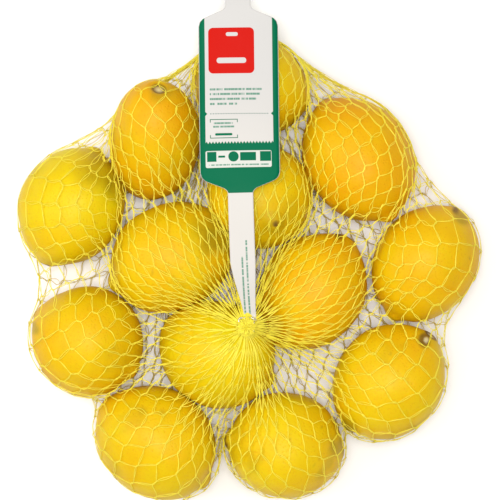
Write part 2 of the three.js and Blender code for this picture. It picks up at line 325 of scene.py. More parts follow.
# Half outline of a lemon, from stem end to blossom end: share of the half length, share of the half width.
lemonOutline = [
    (0.962, 0.0), (0.968, 0.035), (0.99, 0.07), (0.998, 0.105), (0.985, 0.15), (0.955, 0.225), (0.91, 0.33),
    (0.84, 0.465), (0.74, 0.61), (0.6, 0.765), (0.42, 0.9), (0.22, 0.978), (0.0, 1.0), (-0.2, 0.982),
    (-0.4, 0.915), (-0.58, 0.79), (-0.7, 0.66), (-0.79, 0.525), (-0.85, 0.4), (-0.888, 0.295),
    (-0.915, 0.222), (-0.945, 0.175), (-0.975, 0.125), (-0.994, 0.06), (-1.0, 0.0),
]


def outlineTable():
    controls = np.array([(z, r, 0.0) for z, r in lemonOutline])
    points, _ = splinePoints(controls, lemonPeel["rings"])
    points[0, 1] = 0.0
    points[-1, 1] = 0.0
    return points[:, 0], np.maximum(points[:, 1], 0.0)


outlineZ, outlineR = outlineTable()


def lemonFrame(lemon):
    rise, turn = math.radians(lemon["tilt"]), math.radians(lemon["heading"])
    axis = np.array([math.cos(rise) * math.cos(turn), math.cos(rise) * math.sin(turn), math.sin(rise)])
    side = np.array([-math.sin(turn), math.cos(turn), 0.0])
    upper = np.cross(axis, side)
    halfHeight = math.hypot(lemon["length"] / 2 * axis[2], lemon["width"] / 2 * math.cos(rise))
    centre = np.array([lemon["x"], lemon["y"], halfHeight + 0.8])
    return centre, axis, side, upper


def buildLemon(index, lemon):
    centre, axis, side, upper = lemonFrame(lemon)
    half, wide = lemon["length"] / 2, lemon["width"] / 2
    bm = bmesh.new()
    blunt = 1 - lemon.get("blunt", 0)
    radii = np.where(outlineZ > 0, outlineR**blunt, outlineR)
    profile = [bm.verts.new((r * wide, 0, z * half)) for z, r in zip(outlineZ, radii)]
    edges = [bm.edges.new(pair) for pair in zip(profile, profile[1:])]
    bmesh.ops.spin(
        bm,
        geom=profile + edges,
        axis=(0, 0, 1),
        cent=(0, 0, 0),
        angle=math.tau,
        steps=lemonPeel["divisions"],
        use_duplicate=False,
    )
    bmesh.ops.remove_doubles(bm, verts=bm.verts, dist=0.003)
    bmesh.ops.recalc_face_normals(bm, faces=bm.faces)
    names = ("warmth", "olive", "brown", "scarAndHighlight")
    layers = {name: bm.verts.layers.float.new(name) for name in names}
    seed = Vector((index * 7.3, index * 3.1, index * 5.7))
    lean = [noise.noise(seed + Vector((k * 9.0, 0, 0))) for k in range(2)]
    marks = [mark for mark in peelMarks if mark["lemon"] == index]
    for vert in bm.verts:
        x, y, z = vert.co
        share = z / half
        direction = vert.co.normalized()
        slow = noise.noise(vert.co * 0.035 + seed)
        quick = noise.noise(vert.co * 0.11 + seed)
        ridge = math.cos(3 * math.atan2(y, x) + index) * (1 - share * share) * 0.35
        swell = (slow * 1.6 + quick * 0.35) * lemonPeel["unevenness"] + ridge
        vert.co += direction * (swell + 0.1)
        vert.co.x += lean[0] * 3.0 * share * share
        vert.co.y += lean[1] * 3.0 * share * share
        mottle = noise.noise(vert.co * 0.05 + seed * 2)
        warmer = 0.22 * max(share - 0.4, 0) + 0.1 * mottle
        vert[layers["warmth"]] = min(max(lemon["warmth"] + warmer, 0), 1)
        patch = noise.noise(vert.co * 0.045 + seed * 3) + 0.3 * noise.noise(vert.co * 0.16 + seed)
        tip = float(smoothStep(-share, 0.72, 1.0)) * 0.75
        ring = float(smoothStep(share, 0.86, 1.0)) * 0.5
        bruise = float(smoothStep(patch, 0.3, 0.62)) * 0.5
        vert[layers["olive"]] = min(lemon["green"] * (tip + ring + bruise), 0.8)
        aside = math.hypot(x, y)
        button = 1 - float(smoothStep(aside, 1.7, 2.5)) if share > 0.8 else 0.0
        rim = (1 - float(smoothStep(abs(aside - 3.0), 0.5, 1.5))) if share > 0.8 else 0.0
        style = (1 - float(smoothStep(aside, 0.9, 1.9))) if share < -0.8 else 0.0
        fleck = float(smoothStep(noise.noise(vert.co * 0.42 + seed * 5), 0.68, 0.8)) * 0.25
        # The pale stem button is partly its own colour and partly a painted highlight.
        vert[layers["scarAndHighlight"]] = button * 0.9
        vert[layers["brown"]] = min(max(rim * 0.85, style * 0.9, fleck), 1)
        placed = centre + vert.co.x * side + vert.co.y * upper + vert.co.z * axis
        for mark in marks:
            gap = math.hypot(placed[0] - mark["x"], placed[1] - mark["y"]) + 0.25 * mark["size"] * quick
            near = (1 - float(smoothStep(gap, 0.35 * mark["size"], mark["size"]))) * mark["strength"]
            if placed[2] > 18:
                vert[layers[mark["kind"]]] = min(vert[layers[mark["kind"]]] + near, 1)
        vert.co = Vector(toScene(placed))
    bm.normal_update()
    mesh = bpy.data.meshes.new(f"lemon_{index:02d}")
    bm.to_mesh(mesh)
    tree = BVHTree.FromBMesh(bm)
    bm.free()
    addPiece(f"lemon_{index:02d}", mesh, peelMaterial, "lemon_peel", "net_bag")
    return tree


lemonTrees = [buildLemon(index, lemon) for index, lemon in enumerate(lemonTable, start=1)]
print("lemons made")

netting = {
    "columns": 72,
    "rows": 92,
    "leg": 9.0,
    "crossing": 1.2,
    "stretch": 1.12,
    "endDepth": 1.55,
    "threadRadius": 0.17,
    "pairSpread": 0.7,
    "wander": 0.27,
    "lift": 0.75,
    "steps": 900,
    "inwardPull": 0.08,
    "sag": 0.03,
    "slip": 0.15,
    "pieces": 5,
    "colour": (246, 230, 54),
    "bright": (250, 238, 84),
    # Painted shade: colour for the low threads, standing in for the shade under and between the fruit.
    "paintedShade": (186, 160, 72),
    "grain": (205, 178, 30),
}

frontGather = {"x": -2.0, "y": -41.4, "z": 55.0}
endGather = {"x": -5.4, "y": 129.0, "z": 27.5}


def makeYarnMaterial():
    material, tree, shader = newMaterial("netYarn")
    grain = useGroup(tree, grainGroup, {"blotchSize": 60.0, "grainSize": 2200.0, "bumpHeight": 0.0001})
    place = tree.nodes.new("ShaderNodeTexCoord").outputs["Object"]
    height = addNode(tree, "ShaderNodeSeparateXYZ", {0: place}).outputs[2]
    # Painted shade: threads lower than 36 mm are mixed towards the painted shade colour, most at 12 mm and
    # below.
    low = addNode(
        tree,
        "ShaderNodeMapRange",
        {"Value": height, "From Min": 0.036, "From Max": 0.012, "To Min": 0.0, "To Max": 0.8},
    )
    plain, lit = fromSrgb(netting["colour"]), fromSrgb(netting["bright"])
    bright = mixColour(tree, grain.outputs["blotch"], plain, lit)
    colour = mixColour(tree, low.outputs["Result"], bright, fromSrgb(netting["paintedShade"]))
    grainShare = maths(tree, "MULTIPLY", grain.outputs["grain"], 0.3)
    colour = mixColour(tree, grainShare, colour, fromSrgb(netting["grain"]))
    tree.links.new(colour, shader.inputs["Base Color"])
    tree.links.new(grain.outputs["normal"], shader.inputs["Normal"])
    shader.inputs["Roughness"].default_value = 0.5
    shader.inputs["Specular IOR Level"].default_value = 0.35
    return material


yarnMaterial = makeYarnMaterial()

centres = np.array([lemonFrame(lemon)[0] for lemon in lemonTable])
axes = np.array([lemonFrame(lemon)[1] for lemon in lemonTable])
halves = np.array([(lemon["length"] / 2, lemon["width"] / 2) for lemon in lemonTable])
frontPole = np.array([frontGather["x"], frontGather["y"], frontGather["z"]])
endPole = np.array([endGather["x"], endGather["y"], endGather["z"]])
bagCentre = np.array([0.0, -6.0])
columns, rows = netting["columns"], netting["rows"]


def hullSupport():
    angles = np.linspace(0, math.tau, 180, endpoint=False)
    ways = np.stack([np.cos(angles), np.sin(angles)], axis=1)
    reach = np.full(len(ways), -1e9)
    for centre, axis, (long, thick) in zip(centres, axes, halves):
        spread = thick**2 * np.eye(3) + (long**2 - thick**2) * np.outer(axis, axis)
        width = np.sqrt(np.einsum("ij,jk,ik->i", ways, spread[:2, :2], ways))
        reach = np.maximum(reach, ways @ (centre[:2] - bagCentre) + width)
    return ways, reach + 1.5


hullWays, hullReach = hullSupport()


def hullRadius(angle):
    ways = np.stack([np.cos(angle), np.sin(angle)], axis=-1)
    facing = ways @ hullWays.T
    return np.where(facing > 0.05, hullReach / np.maximum(facing, 1e-3), 1e9).min(axis=-1)


def ontoPillow(w):
    # A point of the plane, through the sphere, onto a pillow round the whole bag.
    size = 1 + np.abs(w) ** 2
    x, y, z = 2 * w.real / size, 2 * w.imag / size, (1 - np.abs(w) ** 2) / size
    radius = hullRadius(np.arctan2(y, x))
    height = 30 + 34 * np.sign(z) * np.abs(z) ** 0.7
    return np.stack([x * radius + bagCentre[0], y * radius + bagCentre[1], height], axis=-1)


def planeOf(place):
    offset = place[:2] - bagCentre
    offset = offset / hullRadius(np.array([math.atan2(offset[1], offset[0])]))[0]
    size = min(np.hypot(*offset), 0.9999)
    w = (1 - math.sqrt(1 - size * size)) / size
    return complex(*(offset / size * w)) if np.hypot(*offset) <= 1 else complex(*offset)


def layOutNet():
    # Columns run from the front gather to the end gather; rows are spaced so that every leg keeps its length.
    endPlane, frontPlane = planeOf(endPole) * netting["endDepth"], planeOf(frontPole)

    def meridian(angle, along):
        w = np.exp(along + 1j * angle)
        return ontoPillow((endPlane - frontPlane * w) / (1 - w))

    fine = np.linspace(0, math.tau, 721)
    girth = meridian(fine + 1e-6, 0.0)
    turns = np.concatenate([[0], np.cumsum(np.linalg.norm(np.diff(girth, axis=0), axis=1))])
    share = 0.8 * turns / turns[-1] + 0.2 * fine / math.tau
    angles = np.interp(np.arange(2 * columns) / (2 * columns), share, fine)
    along = np.linspace(5.5, -5.5, 500)
    place = np.zeros((rows, columns, 3))
    pinned = np.zeros((rows, columns), bool)
    for column in range(columns):
        for start in (0, 1):
            path = meridian(angles[2 * column + start], along)
            beside = meridian(angles[(2 * column + start + 1) % (2 * columns)], along)
            aside = np.linalg.norm(beside - path, axis=1)
            segment = np.linalg.norm(np.diff(path, axis=0), axis=1)
            length = np.concatenate([[0], np.cumsum(segment)])
            leg = netting["leg"]
            step = np.sqrt(np.maximum((leg * netting["stretch"]) ** 2 - aside**2, (leg * 0.3) ** 2))
            rowAt = np.concatenate([[0], np.cumsum(segment * 2 / (step[1:] + step[:-1]))])
            own = np.arange(start, rows, 2)
            stop = own >= rowAt[-1] - 0.5
            reached = np.interp(own, rowAt, length)
            for k in range(3):
                place[own, column, k] = np.interp(reached, length, path[:, k])
            leaving = path[40] - path[0]
            arriving = path[-40] - path[-1]
            leaving = leaving / np.linalg.norm(leaving)
            arriving = arriving / np.linalg.norm(arriving)
            place[own[stop], column] = endPole + arriving * 1.4 - np.array([0.0, 1.0, 0.0])
            if start == 0:
                place[0, column] = frontPole + leaving * np.array([2.2, 2.2, 0.0])
                stop[0] = True
            pinned[own, column] = stop
    return place, pinned


def pushOut(points, lift):
    touching = np.zeros(len(points), bool)
    for centre, axis, (long, thick) in zip(centres, axes, halves):
        a, b = long + lift, thick + lift
        offset = points - centre
        near = np.flatnonzero((offset * offset).sum(axis=1) < (a + 1) ** 2)
        if not len(near):
            continue
        offset = offset[near]
        along = offset @ axis
        across = offset - along[:, None] * axis
        scaled = np.sqrt((along / a) ** 2 + (across * across).sum(axis=1) / b**2)
        slope = (along / a**2)[:, None] * axis + across / b**2
        steep = np.linalg.norm(slope, axis=1) + 1e-9
        depth = scaled * (scaled - 1) / steep
        move = -(depth / steep)[:, None] * slope
        size = np.linalg.norm(move, axis=1)
        move *= np.minimum(1, 4 / np.maximum(size, 1e-9))[:, None]
        inside = scaled < 1
        points[near[inside]] += move[inside]
        touching[near[inside]] = True
    points[:, 2] = np.maximum(points[:, 2], 0.35)
    return touching


def drapeNet():
    place, pinned = layOutNet()
    nodes = place.reshape(-1, 3)
    held = pinned.reshape(-1)
    legs, middles = [], {}
    for row in range(rows - 1):
        for column in range(columns):
            for family in (0, 1):
                shift = (row % 2) if family == 0 else (row % 2) - 1
                first = row * columns + column
                second = (row + 1) * columns + (column + shift) % columns
                if not (held[first] and held[second]):
                    middles[first, second] = len(nodes) + len(legs)
                    legs.append((first, second))
    legs = np.array(legs)
    chance = np.random.default_rng(4)
    rest = netting["leg"] * (1 + chance.uniform(-0.12, 0.12, len(legs)))
    points = np.vstack([nodes, (nodes[legs[:, 0]] + nodes[legs[:, 1]]) / 2])
    halfway = len(nodes) + np.arange(len(legs))
    springs = np.vstack([np.c_[legs[:, 0], halfway], np.c_[halfway, legs[:, 1]]])
    rest = np.concatenate([rest, rest]) / 2
    free = np.concatenate([~held, np.ones(len(legs), bool)])
    weight = free.astype(float)
    first, second = springs.T
    both = np.maximum(weight[first] + weight[second], 1e-9)
    firstShare, secondShare = weight[first] / both, weight[second] / both
    count = np.maximum(np.bincount(springs.ravel(), minlength=len(points)), 1)
    speed = np.zeros_like(points)
    still = points[~free].copy()
    for _ in range(netting["steps"] // (1)):
        moved = points + speed * 0.9
        out = moved[:, :2] - bagCentre
        reach = np.linalg.norm(out, axis=1) + 1e-9
        moved[:, :2] -= out * (netting["inwardPull"] * np.clip((reach - 70) / 40, 0, 1) / reach)[:, None]
        moved[:, 2] -= np.where(moved[:, 2] > 30, netting["sag"], 0)
        moved[~free] = still
        for _ in range(2):
            gap = moved[second] - moved[first]
            length = np.linalg.norm(gap, axis=1) + 1e-9
            stiff = np.where(length > rest, 1.0, 0.02)
            pull = (stiff * (length - rest) / length)[:, None] * gap
            shift = np.stack(
                [
                    np.bincount(first, pull[:, k] * firstShare, minlength=len(points))
                    - np.bincount(second, pull[:, k] * secondShare, minlength=len(points))
                    for k in range(3)
                ],
                axis=1,
            )
            moved += shift / count[:, None] * 1.2
            between = (moved[legs[:, 0]] + moved[legs[:, 1]]) / 2
            moved[len(nodes):] += 0.15 * (between - moved[len(nodes):])
            touching = pushOut(moved, netting["lift"])
            moved[~free] = still
        # Where the net touches the fruit it slips only slowly.
        gripped = touching & free
        moved[gripped] = points[gripped] + (moved[gripped] - points[gripped]) * netting["slip"]
        pushOut(moved, netting["lift"])
        speed = moved - points
        size = np.linalg.norm(speed, axis=1)
        speed *= np.minimum(1, 1.5 / np.maximum(size, 1e-9))[:, None]
        points = moved
    return points, held, middles, touching


netPoints, netHeld, netMiddles, netTouching = drapeNet()
print("net draped", len(netPoints))


def netLines():
    # Each diagonal family runs as unbroken lines from gather to gather.
    lines = []
    for family in (0, 1):
        for start in range(columns):
            run = []
            for row in range(rows - 1):
                column = (start + row // 2) % columns if family == 0 else (start - (row + 1) // 2) % columns
                nextColumn = (
                    (start + (row + 1) // 2) % columns if family == 0 else (start - (row + 2) // 2) % columns
                )
                pair = (row * columns + column, (row + 1) * columns + nextColumn)
                if pair in netMiddles:
                    run.append((pair[0], netMiddles[pair], pair[1]))
                elif run:
                    lines.append((family, run))
                    run = []
            if run:
                lines.append((family, run))
    return lines


centresScene = [Vector(toScene(centre)) for centre in centres]


def liftClear(points, clear):
    # Threads are moved out to lie on the real, uneven peel.
    reach = (max(lemon["length"] for lemon in lemonTable) / 2 + 3) / 1000
    for index, point in enumerate(points):
        for centre, tree in zip(centresScene, lemonTrees):
            if (point - centre).length > reach:
                continue
            near, normal, _, _ = tree.find_nearest(point)
            outside = (point - near).dot(normal)
            if outside < clear:
                point = point + normal * (clear - outside)
        point.z = max(point.z, clear)
        points[index] = point
    return points


def crossingRuns():
    # At a crossing the threads lie side by side for a short way along the net: the cells become six-sided.
    ways = np.zeros_like(netPoints)
    for first, last in netMiddles:
        way = netPoints[last] - netPoints[first]
        way /= np.linalg.norm(way) + 1e-9
        ways[first] += way
        ways[last] += way
    size = np.linalg.norm(ways, axis=1) + 1e-9
    chance = np.random.default_rng(7)
    half = netting["crossing"] * chance.uniform(0.5, 1.5, len(ways))
    half = np.minimum(half, 0.09 * size * netting["leg"])
    half *= smoothStep(np.linalg.norm(netPoints - frontPole, axis=1), 22, 80)
    half[: len(netHeld)][netHeld] = 0
    return ways * (half / size)[:, None]


def threadPaths():
    paths = []
    samples = 9
    runs = crossingRuns()
    for family, run in netLines():
        stops = [netPoints[run[0][0]] + runs[run[0][0]]]
        for _, middle, last in run:
            stops += [netPoints[middle], netPoints[last] - runs[last], netPoints[last] + runs[last]]
        stops = np.array(stops)
        padded = np.vstack([2 * stops[0] - stops[1], stops, 2 * stops[-1] - stops[-2]])
        share = np.arange(samples // 3) / (samples // 3)
        a, b, c, d = (padded[k : k + len(stops) - 1, None, :] for k in range(4))
        t = share[None, :, None]
        curve = 0.5 * (
            2 * b + (c - a) * t + (2 * a - 5 * b + 4 * c - d) * t**2 + (3 * b - a - 3 * c + d) * t**3
        )
        curve = np.vstack([curve.reshape(-1, 3), stops[-1:]])
        tangent = np.gradient(curve, axis=0)
        tangent /= np.linalg.norm(tangent, axis=1)[:, None] + 1e-9
        out = curve[:, :2] - bagCentre
        reach = np.linalg.norm(out, axis=1)[:, None] + 1e-9
        rim = np.clip((reach - 95) / 35, 0, 1)
        normal = np.hstack([out / reach * rim, np.clip((curve[:, 2:] - 30) / 16, -1, 1)])
        normal /= np.linalg.norm(normal, axis=1)[:, None] + 1e-9
        side = np.cross(tangent, normal)
        side /= np.linalg.norm(side, axis=1)[:, None] + 1e-9
        legAt = np.arange(len(curve)) / samples
        leg = np.minimum(legAt.astype(int), len(run) - 1)
        across = np.minimum((legAt - leg) * 1.5, 1)
        slack = np.array([0.0 if netTouching[middle] else 1.0 for _, middle, _ in run])[leg]
        spread = np.array([seeded.uniform(0.05, 1.0) ** 1.3 + 0.12 for _ in run])[leg] * (1 + 0.5 * slack)
        steep = np.abs(tangent[:, 1])
        fromKnot = np.linalg.norm(curve - frontPole, axis=1)
        spread = spread * netting["pairSpread"] * (1.1 - 0.6 * smoothStep(steep, 0.45, 0.95))
        spread = spread * (0.35 + 0.65 * smoothStep(fromKnot, 12, 60))
        wave = np.sin(math.pi * across) * np.where(leg % 2 == 0, 1, -1)
        twist = np.cos(math.pi * across) * np.where(leg % 2 == 0, 1, -1)
        beside = (1 - np.abs(wave)) * (0.2 if family else -0.2)
        for hand in (1, -1):
            phase = seeded.uniform(0, 9)
            shake = np.sin(legAt * 11.3 + phase) + np.sin(legAt * 7.1 - 2 * phase)
            shake = shake * netting["wander"] * smoothStep(fromKnot, 15, 70) * (1 + slack)
            offset = side * (wave * spread * hand + 0.5 * shake + beside)[:, None]
            offset = offset + normal * (0.16 * hand * twist)[:, None]
            paths.append(toScene(curve + offset))
    return paths


def addThreads(name, paths, radius, onPeel=True):
    data = bpy.data.curves.new(name, "CURVE")
    data.dimensions = "3D"
    data.bevel_depth = radius / 1000
    data.bevel_resolution = 0
    data.use_fill_caps = True
    for path in paths:
        points = [Vector(point) for point in path]
        if onPeel:
            points = liftClear(points, (radius + 0.08) / 1000)
        spline = data.splines.new("POLY")
        spline.points.add(len(points) - 1)
        for target, point in zip(spline.points, points):
            target.co = (*point, 1)
            target.radius = seeded.uniform(0.82, 1.22)
    holder = bpy.data.objects.new(name, data)
    scene.collection.objects.link(holder)
    depsgraph = bpy.context.evaluated_depsgraph_get()
    mesh = bpy.data.meshes.new_from_object(holder.evaluated_get(depsgraph))
    mesh.name = name
    bpy.data.objects.remove(holder)
    bpy.data.curves.remove(data)
    return addPiece(name, mesh, yarnMaterial, "net_yarn", "net_bag")


allPaths = threadPaths()

for number in range(netting["pieces"]):
    addThreads(f"net_threads_{number + 1}", allPaths[number :: netting["pieces"]], netting["threadRadius"])

print("net threads made", len(allPaths))

bunch = {
    "radius": 2.7,
    "clearance": 0.45,
    "tuftRadius": 5.8,
    "tuftLength": 6.5,
    "lean": 0.5,
    "threads": 340,
    "threadRadius": 0.27,
}

clip = {"width": 7.6, "depth": 7.2, "wall": 0.7, "length": 4.0, "corner": 1.5, "colour": (188, 186, 180)}


def bunchPaths(gather, along, aside, up):
    # Threads run through the clip, rise a little past it and fold over every way.
    origin = np.array([gather["x"], gather["y"], gather["z"]])
    paths = []
    for _ in range(bunch["threads"]):
        turn = seeded.uniform(0, math.tau)
        depth = (bunch["radius"] - 0.3) * math.sqrt(seeded.uniform(0.0, 1.0))
        begin = np.array([depth * math.cos(turn), depth * math.sin(turn)])
        turn += seeded.uniform(-1.1, 1.1) + (math.pi if seeded.random() < 0.35 else 0)
        reach = bunch["tuftRadius"] * math.sqrt(seeded.uniform(0.1, 1.0))
        finish = reach * np.array([math.cos(turn), math.sin(turn)]) - [0, bunch["lean"]]
        peak = bunch["tuftLength"] * seeded.uniform(0.3, 0.85)
        drop = seeded.uniform(0.5, 1.0) * (reach / bunch["tuftRadius"]) ** 2
        path = []
        for step in range(16):
            share = step / 15
            past = max(share - 0.25, 0) / 0.75
            flat = begin + (finish - begin) * past**1.2
            height = -1.5 + (clip["length"] + 1.5) * min(share / 0.25, 1)
            height += peak * (math.sin(past * math.pi * 0.5) - 0.9 * drop * past**2)
            path.append(origin + along * height + aside * flat[0] + up * flat[1])
        paths.append(toScene(path))
    return paths


xWay, yWay, zWay = np.eye(3)
addThreads("front_tuft", bunchPaths(frontGather, zWay, xWay, yWay), bunch["threadRadius"], onPeel=False)
addThreads("end_tuft", bunchPaths(endGather, yWay, xWay, zWay), bunch["threadRadius"], onPeel=False)
print("tufts made")


def makeMetalMaterial():
    material, tree, shader = newMaterial("clipMetal")
    grain = useGroup(tree, grainGroup, {"blotchSize": 220.0, "grainSize": 2600.0, "bumpHeight": 0.00006})
    colour = mixColour(tree, grain.outputs["blotch"], fromSrgb(clip["colour"]), fromSrgb((214, 208, 196)))
    tree.links.new(colour, shader.inputs["Base Color"])
    rough = maths(tree, "MULTIPLY", grain.outputs["grain"], 0.25)
    tree.links.new(maths(tree, "ADD", rough, 0.22), shader.inputs["Roughness"])
    tree.links.new(grain.outputs["normal"], shader.inputs["Normal"])
    shader.inputs["Metallic"].default_value = 1.0
    return material


metalMaterial = makeMetalMaterial()


def roundedRing(bm, width, depth, corner, height, place):
    verts = []
    for quarter in range(4):
        for step in range(6):
            angle = quarter * math.pi / 2 + step / 5 * math.pi / 2 - math.pi / 2
            signX = 1 if quarter in (0, 1) else -1
            signY = 1 if quarter in (1, 2) else -1
            x = signX * (width / 2 - corner) + corner * math.cos(angle)
            y = signY * (depth / 2 - corner) + corner * math.sin(angle)
            verts.append(bm.verts.new(Vector(toScene(place(x, y, height)))))
    return verts


def buildClip(name, node, place):
    # A crimped band: outer and inner rings joined into walls, with a pressed groove round its middle.
    bm = bmesh.new()
    wall, length = clip["wall"], clip["length"]
    shift = clip["depth"] / 2 - bunch["radius"] - bunch["clearance"]

    def at(x, y, z):
        return place(x, y + shift, z)

    heights = [0.0, 0.25, 1.2, 1.7, 2.3, 2.8, 3.75, 4.0]
    swell = [-0.18, 0.0, 0.0, -0.16, -0.16, 0.0, 0.0, -0.18]
    outer = [
        roundedRing(bm, clip["width"] + 2 * (wall + s), clip["depth"] + 2 * (wall + s), clip["corner"], h, at)
        for h, s in zip(heights, swell)
    ]
    inner = [roundedRing(bm, clip["width"], clip["depth"], 0.8, h, at) for h in (length, 0.0)]
    loops = outer + inner
    for ring, following in zip(loops, loops[1:] + loops[:1]):
        for k in range(len(ring)):
            bm.faces.new((ring[k], ring[(k + 1) % len(ring)], following[(k + 1) % len(ring)], following[k]))
    bmesh.ops.recalc_face_normals(bm, faces=bm.faces)
    mesh = bpy.data.meshes.new(name)
    bm.to_mesh(mesh)
    bm.free()
    return addPiece(name, mesh, metalMaterial, "clip_metal", node)


buildClip(
    "front_clip_band",
    "front_clip",
    lambda x, y, z: (frontGather["x"] + x, frontGather["y"] + y, frontGather["z"] + z),
)

buildClip(
    "end_clip_band",
    "end_clip",
    lambda x, y, z: (endGather["x"] + x, endGather["y"] + z, endGather["z"] + y),
)

print("clips made")

tag = {
    "thickness": 0.3,
    "bodyWidth": 43.4,
    "neckWidth": 13.7,
    "clippedWidth": 6.6,
    "bodyStart": 31.2,
    "bodyEnd": 133.0,
    "shoulder": 11.0,
    "plainEnd": 9.0,
    "narrowing": 30.0,
    "loopEnd": 172.0,
    "droop": 1.1,
    "ground": (202, 199, 195),
    "green": (0, 103, 69),
    "red": (197, 18, 4),
    "band": 3.3,
}

# Print on the tag. Across is measured from its middle, along from the start of its wide body.
tagPrint = [
    {"ink": "red", "across": -3.95, "along": 77.8, "width": 25.0, "height": 25.0, "corner": 2.6},
    {"ink": "ground", "across": -3.55, "along": 86.7, "width": 6.5, "height": 2.1, "corner": 1.0},
    {"ink": "ground", "across": -3.9, "along": 72.4, "width": 16.1, "height": 3.0, "corner": 1.4},
    {"ink": "green", "across": -8.4, "along": 35.0, "width": 15.1, "height": 10.5, "corner": 0.1},
    {"ink": "ground", "across": -8.4, "along": 35.0, "width": 14.3, "height": 9.7, "corner": 0.1},
    {"ink": "ground", "across": -8.4, "along": 35.0, "width": 15.7, "height": 6.8, "corner": 0.1},
    {"ink": "green", "across": -8.5, "along": 31.9, "width": 9.4, "height": 1.3, "corner": 0.6},
    {"ink": "panel", "across": -0.65, "along": 18.3, "width": 35.8, "height": 9.2, "corner": 0.9},
    {"ink": "green", "across": -15.2, "along": 19.7, "width": 5.1, "height": 5.4, "corner": 0.1},
    {"ink": "green", "across": -9.8, "along": 19.7, "width": 3.7, "height": 1.1, "corner": 0.2},
    {"ink": "green", "across": -3.4, "along": 19.7, "width": 5.6, "height": 5.6, "corner": 2.75},
    {"ink": "green", "across": 4.5, "along": 19.7, "width": 8.6, "height": 4.6, "corner": 0.3},
    {"ink": "green", "across": 14.0, "along": 19.7, "width": 6.0, "height": 5.4, "corner": 0.1},
]

# Plain broken bars where the small type would be.
tagLines = [
    {"across": -1.75, "along": 56.6, "width": 28.3, "height": 1.15},
    {"across": -2.2, "along": 54.0, "width": 27.4, "height": 1.15},
    {"across": -3.3, "along": 51.3, "width": 25.2, "height": 1.15},
    {"across": -8.5, "along": 48.6, "width": 14.8, "height": 1.15},
    {"across": -8.7, "along": 38.0, "width": 10.2, "height": 1.0},
    {"across": -8.4, "along": 36.1, "width": 11.7, "height": 1.0},
    {"across": -0.6, "along": 15.2, "width": 32.4, "height": 0.8},
]

tagTailLines = [
    {"across": -0.3, "along": -51.6, "width": 0.95, "height": 33.0},
    {"across": 2.2, "along": -47.0, "width": 0.95, "height": 42.0},
]


def makeTagMaterial():
    material, tree, shader = newMaterial("tagPaper")
    grain = useGroup(tree, grainGroup, {"blotchSize": 26.0, "grainSize": 1600.0, "bumpHeight": 0.00004})
    layout = addNode(tree, "ShaderNodeUVMap", uv_map="print").outputs["UV"]
    edgeGap = addNode(tree, "ShaderNodeAttribute", attribute_name="edgeGap").outputs["Fac"]
    scaled = addNode(tree, "ShaderNodeVectorMath", {0: layout, 1: (100, 100, 0)}, operation="MULTIPLY")
    place = scaled.outputs[0]
    split = addNode(tree, "ShaderNodeSeparateXYZ", {0: place})
    across, along = split.outputs[0], split.outputs[1]
    inks = {name: fromSrgb(tag[name]) for name in ("ground", "green", "red")}
    inks["panel"] = fromSrgb((208, 208, 199))

    def inside(box):
        half = (box["width"] / 2, box["height"] / 2, 100)
        centre = (box["across"], box["along"], 0)
        corner = box.get("corner", 0.3)
        fitted = {"place": place, "centre": centre, "half": half, "corner": corner}
        return useGroup(tree, roundBoxGroup, fitted).outputs[0]

    def below(value, limit, sharpness=9.0):
        gap = maths(tree, "SUBTRACT", limit, value)
        return maths(tree, "ADD", maths(tree, "MULTIPLY", gap, sharpness), 0.5, clamp=True)

    warmer = fromSrgb((210, 205, 198))
    base = mixColour(tree, below(along, 40.0, 0.02), inks["ground"], warmer)
    blotch = maths(tree, "MULTIPLY", grain.outputs["blotch"], 0.12)
    base = mixColour(tree, blotch, base, fromSrgb((186, 184, 179)))

    # Side bands, the toothed edge and the plain field below it.
    aside = maths(tree, "ABSOLUTE", across)
    notch = maths(tree, "SUBTRACT", 1.1, maths(tree, "ABSOLUTE", maths(tree, "SUBTRACT", along, 43.2)))
    notch = maths(tree, "MAXIMUM", notch, 0.0)
    inner = tag["bodyWidth"] / 2 - tag["band"]
    bands = below(maths(tree, "SUBTRACT", inner, notch), aside)
    tooth = maths(tree, "MULTIPLY", maths(tree, "PINGPONG", across, 0.85), 1.5)
    field = below(along, maths(tree, "ADD", tooth, 26.8))
    green = maths(tree, "MAXIMUM", bands, field)
    onBody = maths(tree, "MULTIPLY", below(-0.2, along), below(along, 103.0))
    onBody = maths(tree, "MULTIPLY", onBody, below(0.28, edgeGap))
    colour = mixColour(tree, maths(tree, "MULTIPLY", green, onBody), base, inks["green"])

    for box in tagPrint:
        ink = base if box["ink"] == "ground" else inks[box["ink"]]
        colour = mixColour(tree, inside(box), colour, ink)

    # Uneven gaps break each bar into word-long blocks.
    lineInk = fromSrgb((52, 128, 100))
    for lines, run in ((tagLines, across), (tagTailLines, along)):
        for box in lines:
            printPlace = maths(tree, "ADD", run, box["along"] * 3.7 + box["across"] * 5.1)
            pattern = {"W": printPlace, "Scale": 0.5, "Detail": 1.0}
            words = addNode(tree, "ShaderNodeTexNoise", pattern, noise_dimensions="1D")
            middle = maths(tree, "ABSOLUTE", maths(tree, "SUBTRACT", words.outputs["Fac"], 0.5))
            shown = maths(tree, "MULTIPLY", inside(box), below(0.022, middle, 90.0))
            colour = mixColour(tree, maths(tree, "MULTIPLY", shown, 0.8), colour, lineInk)

    # A dotted tear line.
    dots = below(maths(tree, "PINGPONG", across, 0.7), 0.36, 6.0)
    tearLine = inside({"across": 0.1, "along": 43.2, "width": 32.4, "height": 0.5, "corner": 0.1})
    colour = mixColour(tree, maths(tree, "MULTIPLY", dots, tearLine), colour, fromSrgb((104, 130, 118)))

    tree.links.new(colour, shader.inputs["Base Color"])
    rough = maths(tree, "MULTIPLY", grain.outputs["grain"], 0.2)
    tree.links.new(maths(tree, "ADD", rough, 0.38), shader.inputs["Roughness"])
    tree.links.new(grain.outputs["normal"], shader.inputs["Normal"])
    shader.inputs["Specular IOR Level"].default_value = 0.06
    return material


